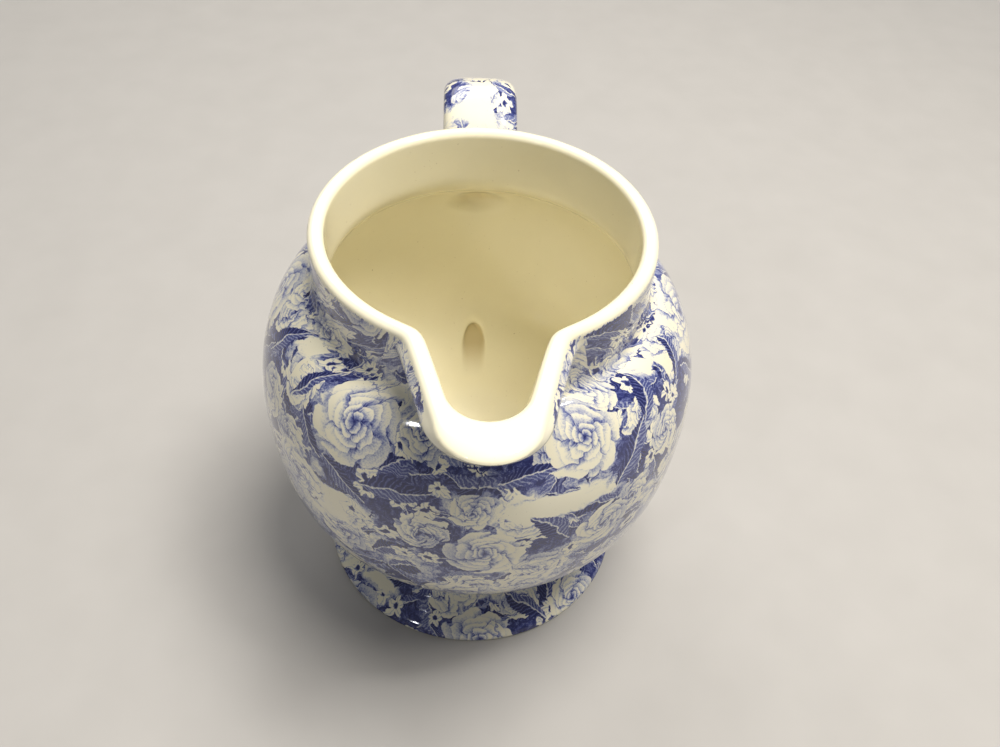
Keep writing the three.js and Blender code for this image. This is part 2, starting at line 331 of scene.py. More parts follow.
def spout_block(radius):
    """A U-shaped block through the front of the neck, as in the CAD."""
    centre_z = HEIGHT - 3
    t = np.linspace(math.pi, 2 * math.pi, 97)
    outline = [(-radius, HEIGHT + 10)]
    outline += [(radius * math.cos(a), centre_z + radius * math.sin(a)) for a in t]
    outline += [(radius, HEIGHT + 10)]
    count = len(outline)
    vertices = [(x, y, z) for y in (-20, -80) for x, z in outline]
    faces = [list(range(count)), [count + k for k in range(count)][::-1]]
    faces += [[k, (k + 1) % count, count + (k + 1) % count, count + k] for k in range(count)]
    return outward(make_object("block", vertices, faces))


def cut(obj, cutter, operation, name):
    """A new object: obj with the cutter taken away, or only what lies in it."""
    modifier = obj.modifiers.new("cut", "BOOLEAN")
    modifier.object = cutter
    modifier.operation = operation
    modifier.solver = "EXACT"
    bpy.context.view_layer.update()
    evaluated = obj.evaluated_get(bpy.context.evaluated_depsgraph_get())
    mesh = bpy.data.meshes.new_from_object(evaluated)
    obj.modifiers.remove(modifier)
    return new_object(name, mesh)


def bowl_pieces():
    """The bowl, the spout and the slip between them, cut from one shell so that nothing gapes."""
    shell = outward(shell_object())
    inner_block = spout_block(SPOUT_JOINT_R + JOINT_GAP / 2)
    outer_block = spout_block(SPOUT_JOINT_R + JOINT_GAP * 1.5 + SLIP)
    body = cut(shell, outer_block, "DIFFERENCE", "bowl_and_neck")
    front = cut(shell, outer_block, "INTERSECT", "front")
    spout = cut(front, inner_block, "INTERSECT", "pulled_spout")
    lute = cut(front, inner_block, "DIFFERENCE", "spout_slip_seam")
    for used in (shell, front, inner_block, outer_block):
        bpy.data.objects.remove(used, do_unlink=True)
    return [outward(piece) for piece in (body, spout, lute)]


# ---- Foot ----

def foot_profile():
    """The splayed hollow foot: tread, rolled edge, skirt, and the hollow's dome."""
    top_z = foot_high[2] + JOINT_GAP / 2
    tread_out = FOOT_R - 1.1
    tread_in = tread_out - FOOT_TREAD
    edge = bezier([(tread_out, 0), (FOOT_R, 0), (FOOT_R + 0.1, 1.3), (FOOT_R - 0.8, 2.3)], 12)
    skirt = bezier([edge[-1], (FOOT_R - 4, 5), (BASE_R - 0.4, 5), (BASE_R - 0.3, top_z)], 30)
    hollow = bezier(
        [(FOOT_BORE_R, top_z), (FOOT_BORE_R + 2, 4.5), (tread_in - 1.2, 1.4), (tread_in - 0.2, 0.4)], 24)
    return np.concatenate([[(tread_in + 0.5, 0)], edge, skirt[1:], hollow])


def foot_lute_profile():
    low, high = foot_high[2] + JOINT_GAP / 2, BOTTOM_Z
    bead = bezier([(BASE_R - 0.3, low), (BASE_R - 0.12, (low + high) / 2), (BASE_R, high)], 6)
    inner = FOOT_BORE_R + 0.2
    return np.concatenate([bead, [(inner, high), (inner, low)]])


# ---- Handle ----

def handle_path():
    """The strap's centre line as distance from the axis and height, finely stepped."""
    back = HANDLE_BACK - STRAP_HALF_THICKNESS
    knots = np.array([
        (31, 80.5), (38.5, 87), (46, 95), (55, 98.2), (64, 92.5), (back, 77),
        (back - 2.2, 59), (back - 8.5, 45), (52.5, 36.5), (44.5, 32), (35.5, 30),
    ])
    padded = np.concatenate([[2 * knots[0] - knots[1]], knots, [2 * knots[-1] - knots[-2]]])
    pieces = []
    t = np.linspace(0, 1, 41)[:-1, None]
    for a, b, c, d in zip(padded, padded[1:], padded[2:], padded[3:]):
        bend = (2 * a - 5 * b + 4 * c - d) * t ** 2 + (3 * b - a - 3 * c + d) * t ** 3
        pieces.append(0.5 * (2 * b + (c - a) * t + bend))
    line = np.concatenate(pieces + [knots[-1:]])
    for _ in range(60):
        line[1:-1] = (line[:-2] + 2 * line[1:-1] + line[2:]) / 4
    return resample(line, 0.5)


class Strap:
    """The strap's surface: `along` runs from 0 to 1, and `corner` is an angle round the section."""

    def __init__(self):
        self.path = handle_path()
        step = np.gradient(self.path, axis=0)
        self.tangent = step / np.linalg.norm(step, axis=1)[:, None]
        self.places = np.linspace(0, 1, len(self.path))
        self.corners = np.linspace(0, 2 * math.pi, STRAP_COLUMNS, endpoint=False)

    def points(self, along, corner):
        def read(values):
            return np.interp(along, self.places, values)
        y, z = read(self.path[:, 0]), read(self.path[:, 1])
        ty, tz = read(self.tangent[:, 0]), read(self.tangent[:, 1])
        flare = 1 + ROOT_FLARE * smoothstep(np.minimum(along, 1 - along), ROOT_LENGTH, 0)
        c, s = np.cos(corner), np.sin(corner)
        across = STRAP_HALF_WIDTH * flare * np.sign(c) * np.abs(c) ** ROUNDING_ACROSS
        out = STRAP_HALF_THICKNESS * flare * np.sign(s) * np.abs(s) ** ROUNDING_OUT
        return np.stack([across + 0 * y, y + out * -tz, z + out * ty], -1)

    def crossing(self, corner, from_start):
        """Where the line along the strap at this corner leaves the bowl's outside."""
        along = np.linspace(0, 0.35, 600) if from_start else np.linspace(1, 0.65, 600)
        p = self.points(along, corner)
        outside = np.hypot(p[:, 0], p[:, 1]) - outside_radius(p[:, 2])
        k = int(np.argmax(outside > 0))
        share = outside[k - 1] / (outside[k - 1] - outside[k])
        return along[k - 1] + (along[k] - along[k - 1]) * share


def handle_objects():
    strap = Strap()
    corners = strap.corners
    start = np.array([strap.crossing(corner, from_start=True) for corner in corners])
    end = np.array([strap.crossing(corner, from_start=False) for corner in corners])
    stations = np.linspace(0, 1, STRAP_STATIONS)[:, None]
    along = start[None] + (end - start)[None] * stations
    grid = strap.points(along, corners[None])
    faces = capped_faces(STRAP_STATIONS, STRAP_COLUMNS)
    handle = outward(make_object("strap_handle", grid.reshape(-1, 3), faces))
    paint_strap(handle, grid)
    upper_lute = root_fillet("handle_upper_slip", strap, start, 1)
    lower_lute = root_fillet("handle_lower_slip", strap, end, -1)
    return [handle, upper_lute, lower_lute]


def on_outside(points):
    """The points moved level onto the bowl's outside."""
    radius = np.hypot(points[..., 0], points[..., 1])
    scale = outside_radius(points[..., 2]) / radius
    return np.stack([points[..., 0] * scale, points[..., 1] * scale, points[..., 2]], -1)


def root_fillet(name, strap, crossing, direction):
    """The slip round a handle root, wiped to a concave fillet between the strap and the bowl."""
    corners = strap.corners
    length = FILLET / STRAP_LENGTH
    foot = strap.points(crossing, corners)
    on_strap = strap.points(crossing + direction * length, corners)
    centre = foot.mean(0)
    normal = np.array([0, centre[1], 0]) / centre[1]
    away = foot - centre
    away -= (away @ normal)[:, None] * normal
    away /= np.linalg.norm(away, axis=1)[:, None]
    on_bowl = on_outside(foot + away * FILLET)
    t = np.linspace(0, 1, 11)[:, None, None]
    skin = (1 - t) ** 2 * on_strap + 2 * t * (1 - t) * (foot + 0.05 * away) + t ** 2 * on_bowl
    section = np.concatenate([skin, (foot - 0.4 * away)[None]])
    faces = ring_faces(len(section), STRAP_COLUMNS, closed_rows=True)
    return outward(make_object(name, section.reshape(-1, 3), faces))


# ---- Where the flat print lies on the jug ----

TABLE_ANGLES = 541
TABLE_STEP = 0.4
BELLY_SCALE = 46  # millimetres of print for one radian round the belly
NECK_SCALE = 36
FOOT_SCALE = 33
SHEET_STEP = 200  # the neck and the foot have sheets of their own, from other parts of the design
STRAP_SHEET_U = 500  # and so has the strap
CREASE_V = 87  # where the crease under the neck lies on the belly's sheet
LENGTH_UNDER_SPOUT = 22  # how much further the belly's sheet runs there
BELOW_CREASE = -50  # stored on pieces that the neck's sheet doesn't reach
FAR_BELOW_RIM = 50  # stored on pieces where the print doesn't break off


def print_table():
    """The place on the print, u as an angle and v as a length, for angles and heights on the outside."""
    angles = np.linspace(0, math.pi, TABLE_ANGLES)
    heights = np.arange(BOTTOM_Z, HEIGHT + TABLE_STEP, TABLE_STEP)
    a, z = np.meshgrid(angles, heights, indexing="ij")
    plain = outside_radius(z)
    radius = with_spout(plain, a, HEIGHT - z, 1.0)
    up = np.hypot(np.diff(z, axis=1), np.diff(radius, axis=1))
    v = np.concatenate([np.zeros((len(angles), 1)), np.cumsum(up, axis=1)], axis=1)
    x, y = radius * np.sin(a), radius * np.cos(a)
    along = np.hypot(np.diff(x, axis=0), np.diff(y, axis=0))
    path = np.concatenate([np.zeros((1, len(heights))), np.cumsum(along, axis=0)], axis=0)
    extra = (path - plain * a) * smoothstep(a, 1.7, 0.9) / 40
    on_spout = smoothstep(a, 0.6, 0.25) * smoothstep(z, 76, 86)
    u = a + extra + (plain / BELLY_SCALE - 1) * a * on_spout
    return angles, heights, u, v


def read_table(table, angle, z):
    angles, heights, u, v = table
    i = np.clip(np.abs(angle) / angles[1], 0, len(angles) - 1.001)
    j = np.clip((z - heights[0]) / (heights[1] - heights[0]), 0, len(heights) - 1.001)
    i0, j0 = i.astype(int), j.astype(int)
    fi, fj = i - i0, j - j0
    weights = ((1 - fi) * (1 - fj), fi * (1 - fj), (1 - fi) * fj, fi * fj)
    corners = ((i0, j0), (i0 + 1, j0), (i0, j0 + 1), (i0 + 1, j0 + 1))
    read_u = sum(w * u[c] for w, c in zip(weights, corners))
    read_v = sum(w * v[c] for w, c in zip(weights, corners))
    return np.sign(angle) * read_u, read_v


def round_places(obj):
    """Every vertex's distance from the bowl's axis, angle from the front, and height."""
    flat = np.empty(len(obj.data.vertices) * 3)
    obj.data.vertices.foreach_get("co", flat)
    x, y, z = (flat.reshape(-1, 3) / MM - np.array([0, AXIS_Y, 0])).T
    return np.hypot(x, y), np.arctan2(x, -y), z


def store_print(obj, u, v, period):
    """Stores the place on the print as a UV map; `period` is how far u runs in one turn."""
    mesh = obj.data
    corner = np.empty(len(mesh.loops), int)
    mesh.loops.foreach_get("vertex_index", corner)
    sizes = np.empty(len(mesh.polygons), int)
    mesh.polygons.foreach_get("loop_total", sizes)
    face = np.repeat(np.arange(len(sizes)), sizes)
    cu, cv = u[corner], v[corner]
    high = np.full(len(sizes), -np.inf)
    np.maximum.at(high, face, cu)
    cu = np.where(high[face] - cu > period / 2, cu + period, cu)
    layer = mesh.uv_layers.new(name="print")
    layer.uv.foreach_set("vector", np.stack([cu, cv], 1).astype(np.float32).ravel())


def store_value(obj, name, values):
    """Stores a number for each vertex, or one number for all of them."""
    attribute = obj.data.attributes.new(name, "FLOAT", "POINT")
    attribute.data.foreach_set("value", np.full(len(obj.data.vertices), values, np.float32))


PRINT_TABLE = print_table()


def lay_bowl_print(obj):
    """The neck's sheet starts at the crease, but in front the belly's sheet runs on under the spout."""
    _, angle, z = round_places(obj)
    u, v = read_table(PRINT_TABLE, angle, z)
    store_print(obj, u, v, 2 * math.pi)
    lift = LENGTH_UNDER_SPOUT * smoothstep(np.abs(angle), 0.66, 0.42)
    store_value(obj, "above_crease", v - CREASE_V - lift)


PLAIN_LIP = 3.6  # the print stops this much lower at the tip of the lip
INSIDE_MARK = -2.0  # where the inside's numbers start in what shell_depth returns


def shell_depth(obj):
    """Depth below the rim outside the shell, and numbers from INSIDE_MARK down inside it."""
    radius, angle, z = round_places(obj)
    depth = HEIGHT - z
    outer = with_spout(outside_radius(z), angle, depth, 1.0)
    inner = with_spout(outside_radius(z) - WALL, angle, depth, 0.0)
    outside = radius > outer - 0.35 * (outer - inner)
    tip = smoothstep(radius, 46, 56)
    return np.where(outside, depth - PLAIN_LIP * tip, INSIDE_MARK - depth)


def lay_turned_print(obj, profile, scale, start):
    """Print on a turned piece: the length along its profile runs down the sheet."""
    _, angle, _ = round_places(obj)
    length = np.concatenate([[0], np.cumsum(np.hypot(*np.diff(profile, axis=0).T))])
    scaled = scale / BELLY_SCALE
    store_print(obj, angle * scaled, start + np.repeat(length, TURNED_COLUMNS), 2 * math.pi * scaled)
    store_value(obj, "above_crease", BELOW_CREASE)


# ---- Materials ----

class Value:
    """A node socket that can be used in arithmetic."""

    def __init__(self, graph, socket):
        self.graph, self.socket = graph, socket

    def __add__(self, other):
        return self.graph.math("ADD", self, other)

    def __sub__(self, other):
        return self.graph.math("SUBTRACT", self, other)

    def __rsub__(self, other):
        return self.graph.math("SUBTRACT", other, self)

    def __mul__(self, other):
        return self.graph.math("MULTIPLY", self, other)

    def __truediv__(self, other):
        return self.graph.math("DIVIDE", self, other)

    def __pow__(self, other):
        return self.graph.math("POWER", self, other)


class Graph:
    """Adds nodes to a node tree and returns their outputs as values."""

    def __init__(self, tree):
        self.tree = tree

    def feed(self, socket, value):
        if isinstance(value, Value):
            self.tree.links.new(value.socket, socket)
        else:
            socket.default_value = value

    def node(self, kind, inputs=None, **settings):
        """A new shader node with its inputs fed and its settings made."""
        node = self.tree.nodes.new("ShaderNode" + kind)
        for key, value in settings.items():
            setattr(node, key, value)
        for key, value in (inputs or {}).items():
            self.feed(node.inputs[key], value)
        return node

    def out(self, node, key=0):
        return Value(self, node.outputs[key])

    def finish(self, shader, kind="OutputMaterial"):
        """Sends the shader to the material's or the world's output."""
        self.tree.links.new(shader.outputs[0], self.node(kind).inputs[0])

    def math(self, operation, a, b=0.0, clamp=False):
        return self.out(self.node("Math", {0: a, 1: b}, operation=operation, use_clamp=clamp))

    def clamp(self, a):
        return self.math("ADD", a, 0.0, clamp=True)

    def step(self, low, high, x, top=1.0):
        """0 below low, `top` above high, smooth between; low may be the larger one."""
        inputs = {0: x, 1: low, 2: high, 3: 0.0, 4: top}
        if low > high:
            inputs = {0: x, 1: high, 2: low, 3: top, 4: 0.0}
        return self.out(self.node("MapRange", inputs, interpolation_type="SMOOTHSTEP"))

    def attribute(self, name):
        return self.out(self.node("Attribute", attribute_name=name), "Fac")

    def mix(self, a, b, share):
        return self.out(self.node("Mix", {0: share, 2: a, 3: b}, data_type="FLOAT"))

    def mix_colour(self, a, b, share):
        return self.out(self.node("Mix", {0: share, 6: a, 7: b}, data_type="RGBA"), 2)

    def vector(self, x, y, z=0.0):
        return self.out(self.node("CombineXYZ", {0: x, 1: y, 2: z}))

    def split(self, vector):
        node = self.node("SeparateXYZ", {0: vector})
        return self.out(node, 0), self.out(node, 1), self.out(node, 2)

    def noise(self, vector, scale, detail=2.0, roughness=0.5, key=0, dimensions="2D"):
        inputs = {"Vector": vector, "Scale": scale, "Detail": detail, "Roughness": roughness}
        return self.out(self.node("TexNoise", inputs, noise_dimensions=dimensions), key)

    def cells(self, vector, size, randomness=0.8):
        """Cells of about this size: the place inside the cell, and two random numbers for it."""
        inputs = {"Vector": vector, "Scale": 1.0 / size, "Randomness": randomness}
        node = self.node("TexVoronoi", inputs, voronoi_dimensions="2D")
        x, y, _ = self.split(vector)
        cx, cy, _ = self.split(self.out(node, "Position"))
        colour = self.node("SeparateColor", {0: self.out(node, "Color")})
        return x - cx, y - cy, self.out(colour, 0), self.out(colour, 1)

    def turn(self, x, y, angle):
        c, s = self.math("COSINE", angle), self.math("SINE", angle)
        return x * c + y * s, y * c - x * s

    def polar(self, x, y):
        return self.math("SQRT", x * x + y * y), self.math("ARCTAN2", y, x)


def new_group(name, inputs, outputs):
    """A node group of plain numbers: its graph, its inputs, and the node that takes its outputs."""
    tree = bpy.data.node_groups.new(name, "ShaderNodeTree")
    for key in inputs:
        tree.interface.new_socket(key, in_out="INPUT", socket_type="NodeSocketFloat")
    for key in outputs:
        tree.interface.new_socket(key, in_out="OUTPUT", socket_type="NodeSocketFloat")
    graph = Graph(tree)
    source = tree.nodes.new("NodeGroupInput")
    sink = tree.nodes.new("NodeGroupOutput")
    return graph, [graph.out(source, k) for k in range(len(inputs))], sink


def use_group(graph, tree, inputs):
    node = graph.node("Group", node_tree=tree)
    for k, value in enumerate(inputs):
        graph.feed(node.inputs[k], value)
    return [graph.out(node, k) for k in range(len(node.outputs))]


ROSE_RINGS = (  # outer radius of a ring of petals, petals in it, turn of the ring
    (1.0, 6, 0.0),
    (0.76, 5, 0.9),
    (0.55, 5, 2.1),
    (0.37, 4, 0.4),
    (0.22, 3, 1.6),
)


def rose_group():
    """A full rose seen from the front, in units of its radius: ink, and where it covers the ground."""
    graph, (x, y), sink = new_group("rose", ("X", "Y"), ("Ink", "Cover"))
    radius, angle = graph.polar(x, y)
    here = graph.vector(x, y)
    wobble = graph.noise(here, 2.6) - 0.5
    veins = graph.math("SINE", angle * 38.0 + radius * 8.0 + wobble * 20.0) * 0.5 + 0.5
    ink, cover = None, None
    for k, (ring_r, petals, ring_turn) in enumerate(ROSE_RINGS):
        inner_r = ROSE_RINGS[k + 1][0] * 0.8 if k + 1 < len(ROSE_RINGS) else 0.0
        swirled = angle + radius * 1.2 + wobble * 0.7 + (ring_turn + 9.0)
        place = graph.math("FRACT", swirled * (petals / (2 * math.pi)))
        bulge = 1.0 - (place * 2.0 - 1.0) ** 4.0
        outline = (bulge * 0.18 + wobble * 0.16 + 0.82) * ring_r
        inside = outline - radius
        up = graph.clamp((radius - inner_r) / (ring_r - inner_r))
        shadow = (1.0 - up) ** 1.7 * (0.48 + 0.08 * k)
        overlap = graph.step(0.34, 0.0, place, 0.34)
        edge = graph.step(0.035, 0.0, inside, 0.27)
        petal = graph.clamp((shadow + overlap) * (veins * 0.3 + 0.72) + edge)
        mask = graph.step(0.0, 0.015, inside)
        ink = petal if ink is None else graph.mix(ink, petal, mask)
        cover = mask if cover is None else cover
    shaded_side = graph.step(-0.2, 0.9, x * 0.55 - y * 0.6, 0.2)
    heart = graph.step(0.3, 0.05, radius, 0.25)
    graph.feed(sink.inputs[0], graph.clamp(ink + shaded_side + heart))
    graph.feed(sink.inputs[1], cover)
    return graph.tree


def leaf(graph, x, y, length, width):
    """A leaf along x with a toothed edge, a pale midrib and side veins: ink and cover."""
    along = x / length
    body = graph.math("MAXIMUM", 1.0 - along * along, 0.0)
    teeth = graph.math("FRACT", x * 1.3) * 0.14 + 0.86
    side = graph.math("ABSOLUTE", y)
    cover = graph.step(0.0, 0.14, body * teeth * width - side)
    midrib = graph.step(0.08, 0.26, side)
    veins = graph.step(0.08, 0.3, graph.math("PINGPONG", x - side * 0.9, 0.55))
    half_tone = graph.step(-0.2, 0.2, y, 0.28)
    ink = (half_tone + 0.6) * (veins * 0.35 + 0.65) * (midrib * 0.7 + 0.3)
    return ink, cover


def blossom(graph, x, y, size):
    """A small five-petalled flower: ink and cover."""
    radius, angle = graph.polar(x, y)
    radius = radius / size
    place = graph.math("FRACT", (angle + 9.0) * (5 / (2 * math.pi)))
    outline = (1.0 - (place * 2.0 - 1.0) ** 2.0) * 0.45 + 0.55
    inside = outline - radius
    cover = graph.step(0.0, 0.05, inside)
    edge = graph.step(0.14, 0.02, inside, 0.45)
    heart = graph.step(0.36, 0.12, radius, 0.8)
    folds = graph.step(0.16, 0.0, graph.math("ABSOLUTE", place - 0.5), 0.25)
    return graph.clamp(edge + heart + folds), cover


# The copper plate's design is 96 by 62 mm and is laid three times round the jug. Each row of it is shifted by
# half its width. Places are millimetres from the plate's middle line and from its lower edge.
PLATE_WIDTH = 2 * math.pi * BELLY_SCALE / 3
PLATE_HEIGHT = 62
PLATE_START = 45

PLATE_ROSES = (  # place across, place up, radius, turn
    (-28, 34, 10.5, 0.4),
    (21, 34, 9.5, 2.2),
    (30, 43, 6, 1.0),
    (43, 23, 5.5, 3.4),
    (-41, 12, 7, 5.0),
    (1, 8, 8, 4.1),
    (-2, 21, 5, 1.9),
    (25, 9, 6.5, 0.9),
    (-12, 53, 6.5, 2.9),
    (43, 50, 7, 5.6),
    (-40, 54, 5, 0.2),
)
PLATE_DRIFTS = (  # place across, place up, half width, half height, and darker or paler
    (-21, 21, 14, 6.5, 0.42),
    (-6, 31, 9, 7, 0.36),
    (8, 29, 10, 5, 0.3),
    (-12, 13, 10, 6, 0.32),
    (13, 11, 9, 8, 0.32),
    (32, 25, 6, 9, 0.42),
    (44, 25, 8, 9, 0.36),
    (38, 36, 6, 6, 0.36),
    (-44, 22, 8, 12, 0.34),
    (-40, 42, 8, 6, 0.26),
    (14, 20, 18, 4, -0.34),
    (-27, 14, 9, 3.5, -0.3),
    (-46, 35, 5, 6, -0.4),
    (20, 50, 12, 6, -0.3),
    (46, 41, 7, 5, -0.4),
)
PLATE_LEAVES = (  # place across, place up, half length, half width, direction
    (-42.5, 35.5, 7, 1.9, 1.1),
    (-38, 26, 6, 2.3, -0.9),
    (39, 35, 7, 2.6, 1.2),
    (32, 25, 8, 2.9, 0.9),
    (-17, 23, 7.5, 2.8, 0.2),
    (-28, 20, 7, 2.6, -0.5),
    (9, 29, 7, 2.2, 0.3),
    (13, 14, 7, 2.4, 2.2),
)
SCATTERED_LEAVES = (  # cell size, half length, half width, shift of the cells, and least tone of the ground
    (8.0, 4.6, 1.8, 3.0, 0.46),
    (12.5, 7.0, 2.7, 31.0, 0.50),
)
FULL_TURN = 6.28
TWIG_SPACING = 21


def on_plate(graph, u, v):
    """The place on one copy of the plate."""
    row = graph.math("FLOOR", (v - PLATE_START) / PLATE_HEIGHT)
    shifted = u + row * (PLATE_WIDTH / 2)
    ends = {0: shifted, 1: PLATE_WIDTH / 2, 2: -PLATE_WIDTH / 2}
    wrap = graph.node("Math", ends, operation="WRAP")
    return graph.out(wrap), v - PLATE_START - row * PLATE_HEIGHT


def drifts(graph, x, y, patches):
    """How much darker or paler a list of oval patches makes the print."""
    total = 0.0
    for across, up, half_width, half_height, amount in patches:
        dx, dy = (x - across) * (1 / half_width), (y - up) * (1 / half_height)
        total = graph.math("MAXIMUM", 1.0 - (dx * dx + dy * dy), 0.0) * amount + total
    return total


def nearest_rose(graph, x, y):
    """The place inside the nearest of the plate's roses, in units of its radius."""
    nearest, best_x, best_y, best_turn = 1e6, 0.0, 0.0, 0.0
    for across, up, radius, turn in PLATE_ROSES:
        dx, dy = (x - across) * (1 / radius), (y - up) * (1 / radius)
        far = dx * dx + dy * dy
        closer = graph.math("LESS_THAN", far, nearest)
        nearest = graph.math("MINIMUM", far, nearest)
        best_x = graph.mix(best_x, dx, closer)
        best_y = graph.mix(best_y, dy, closer)
        best_turn = graph.mix(best_turn, float(turn), closer)
    return graph.turn(best_x, best_y, best_turn)


def ground(graph, warped, drift):
    """Drifts of dark foliage with ragged edges, and pale open stretches between them."""
    ragged_drift = drift * 0.66 + graph.noise(warped, 0.33, 5.0, 0.68) * 0.44
    mottle = graph.noise(warped, 0.9, 4.0, 0.7)
    dark = graph.step(0.60, 0.70, ragged_drift)
    wash = graph.step(0.42, 0.66, ragged_drift, 0.5)
    return graph.mix(wash * (mottle + 0.3), graph.step(0.25, 0.75, mottle, 0.4) + 0.5, dark)


def scattered_flowers(graph, u, v, drift, rose, ink):
    """Two sizes of leaves, then blossoms, then small roses, each layer over the one before."""
    for size, length, width, shift, low in SCATTERED_LEAVES:
        x, y, random_a, random_b = graph.cells(graph.vector(u + shift, v + shift * 0.7), size)
        x, y = graph.turn(x, y, random_a * FULL_TURN)
        leaf_ink, cover = leaf(graph, x, y, length, width)
        where = graph.step(low, low + 0.08, drift + (random_b - 0.5) * 0.25)
        ink = graph.mix(ink, leaf_ink * (random_b * 0.4 + 0.7), cover * where)
    x, y, random_a, random_b = graph.cells(graph.vector(u + 57.0, v), 7.5)
    flower_ink, cover = blossom(graph, x, y, 2.6)
    where = graph.step(0.5, 0.56, random_b * 0.45 + drift * 0.62)
    ink = graph.mix(ink, flower_ink, cover * where)
    x, y, random_a, random_b = graph.cells(graph.vector(u + 12.0, v + 40.0), 19.0, 0.6)
    x, y = graph.turn(x, y, random_a * FULL_TURN)
    size = random_b * 2.0 + 4.6
    rose_ink, rose_cover = use_group(graph, rose, [x / size, y / size])
    return graph.mix(ink, rose_ink, rose_cover * graph.step(0.40, 0.48, drift)), rose_cover


def plate_flowers(graph, u, v, large, rose, ink):
    """The plate's own leaves and roses."""
    for across, up, length, width, direction in PLATE_LEAVES:
        x, y = graph.turn(u - across, v - up, direction)
        leaf_ink, cover = leaf(graph, x, y, length, width)
        ink = graph.mix(ink, leaf_ink, cover * large)
    x, y = nearest_rose(graph, u, v)
    rose_ink, rose_cover = use_group(graph, rose, [x, y])
    return graph.mix(ink, rose_ink * 0.85, rose_cover * large), rose_cover


def twigs(graph, twig_place, flat):
    """Thin forked twigs, kept in some stretches only."""
    inputs = {"Vector": twig_place, "Scale": 1 / TWIG_SPACING}
    settings = {"voronoi_dimensions": "2D", "feature": "DISTANCE_TO_EDGE"}
    line = graph.out(graph.node("TexVoronoi", inputs, **settings))
    kept = graph.step(0.50, 0.56, graph.noise(flat, 0.06, 1.0))
    return graph.step(0.013, 0.006, line, 0.75) * kept


def print_group():
    """The blue floral print: ink from 0 to 1 at a place (u, v) on the unrolled surface, in millimetres."""
    graph, (u, v, tone, large), sink = new_group("floral print", ("U", "V", "Tone", "Large roses"), ("Ink",))
    rose = rose_group()
    flat = graph.vector(u, v)
    bend_u, bend_v, _ = graph.split(graph.noise(flat, 0.11, key=1))
    shiver_u, shiver_v, _ = graph.split(graph.noise(flat, 0.7, key=1))
    shift_u = (bend_u - 0.5) * 6.0 + (shiver_u - 0.5) * 1.3
    shift_v = (bend_v - 0.5) * 6.0 + (shiver_v - 0.5) * 1.3
    warped_u, warped_v = u + shift_u, v + shift_v
    plate_u, plate_v = on_plate(graph, u, v)
    plate_u, plate_v = plate_u + shift_u * 0.6, plate_v + shift_v * 0.6
    twig_place = graph.vector(warped_u + shift_u * 0.8 + 20.0, warped_v + shift_v * 0.8)

    drift = graph.noise(flat, 0.05, 1.0) * 0.7 + (tone - 0.28)
    drift = drift + drifts(graph, plate_u, plate_v, PLATE_DRIFTS) * large
    ink = ground(graph, graph.vector(warped_u, warped_v), drift)
    ink, small_cover = scattered_flowers(graph, warped_u, warped_v, drift, rose, ink)
    ink, large_cover = plate_flowers(graph, plate_u, plate_v, large, rose, ink)
    bare = (1.0 - small_cover) * (1.0 - large_cover * 0.5)
    ink = graph.math("MAXIMUM", ink, twigs(graph, twig_place, flat) * bare)

    # The engraver's stipple breaks every tone into grains.
    grain = graph.noise(flat, 2.6, 3.0, 0.75)
    stippled = graph.clamp((ink - grain * 0.75) * 1.7 + 0.34)
    graph.feed(sink.inputs[0], graph.clamp(graph.mix(ink, stippled, 0.5)))
    return graph.tree


CREAM = (0.86, 0.82, 0.65, 1.0)
# Painted light: the inside's cream is the same glaze made brighter and yellower, for the light that gathers
# in the bowl.
INSIDE_CREAM_WITH_PAINTED_LIGHT = (0.91, 0.86, 0.66, 1.0)
WARM_CREAM = (0.80, 0.745, 0.55, 1.0)
# The colour in the hollows inside the wall: partly thicker pooled glaze, partly painted shade.
POOLED_GLAZE_AND_SHADE = (0.66, 0.56, 0.33, 1.0)
IRON_SPECK = (0.30, 0.22, 0.13, 1.0)
PALE_CLAY = (0.62, 0.53, 0.39, 1.0)
DARK_CLAY = (0.45, 0.36, 0.25, 1.0)
GLAZE_ROUGHNESS = 0.1
INK_RAMP = (  # ink strength and its colour under the glaze
    (0.0, (0.86, 0.82, 0.65)),
    (0.18, (0.52, 0.535, 0.58)),
    (0.42, (0.19, 0.22, 0.41)),
    (0.70, (0.043, 0.055, 0.215)),
    (1.0, (0.010, 0.013, 0.08)),
)


def ramp(graph, stops, value):
    node = graph.node("ValToRGB", {0: value})
    elements = node.color_ramp.elements
    while len(elements) < len(stops):
        elements.new(0.5)
    for element, (place, colour) in zip(elements, stops):
        element.position = place
        element.color = (*colour, 1.0)
    return graph.out(node)


def new_material(name):
    material = bpy.data.materials.new(name)
    material.use_nodes = True
    material.node_tree.nodes.clear()
    return material, Graph(material.node_tree)


def object_place(graph):
    """The shaded point in millimetres round the bowl's axis."""
    x, y, z = graph.split(graph.out(graph.node("TexCoord"), "Object"))
    return graph.vector(x * 1000.0, y * 1000.0 - AXIS_Y, z * 1000.0)


def glaze_finish(graph, colour, place):
    """The material's output: a thick glossy glaze over the colour, with faint ripples and orange peel."""
    ripple = graph.noise(place, 0.07, dimensions="3D")
    orange_peel = graph.noise(place, 0.55, dimensions="3D")
    height = ripple * 0.5 + orange_peel * 0.02
    bump = graph.node("Bump", {"Height": height, "Strength": 0.35, "Distance": 0.0006})
    shader = graph.node("BsdfPrincipled", {
        "Base Color": colour,
        "Roughness": GLAZE_ROUGHNESS,
        "IOR": 1.52,
        "Specular IOR Level": 0.62,
        "Coat Weight": 0.35,
        "Coat Roughness": 0.03,
        "Normal": graph.out(bump),
    })
    graph.finish(shader)


def cream_colour(graph, place, cream, unevenness):
    """Cream glaze, slightly uneven, with rare iron specks."""
    cloud = graph.noise(place, 0.05, 3.0, 0.55, dimensions="3D")
    warm = graph.mix_colour(cream, WARM_CREAM, graph.step(0.35, 0.8, cloud, unevenness))
    speck = graph.step(0.775, 0.80, graph.noise(place, 1.9, 1.0, 0.4, dimensions="3D"), 0.45)
    return graph.mix_colour(warm, IRON_SPECK, speck)


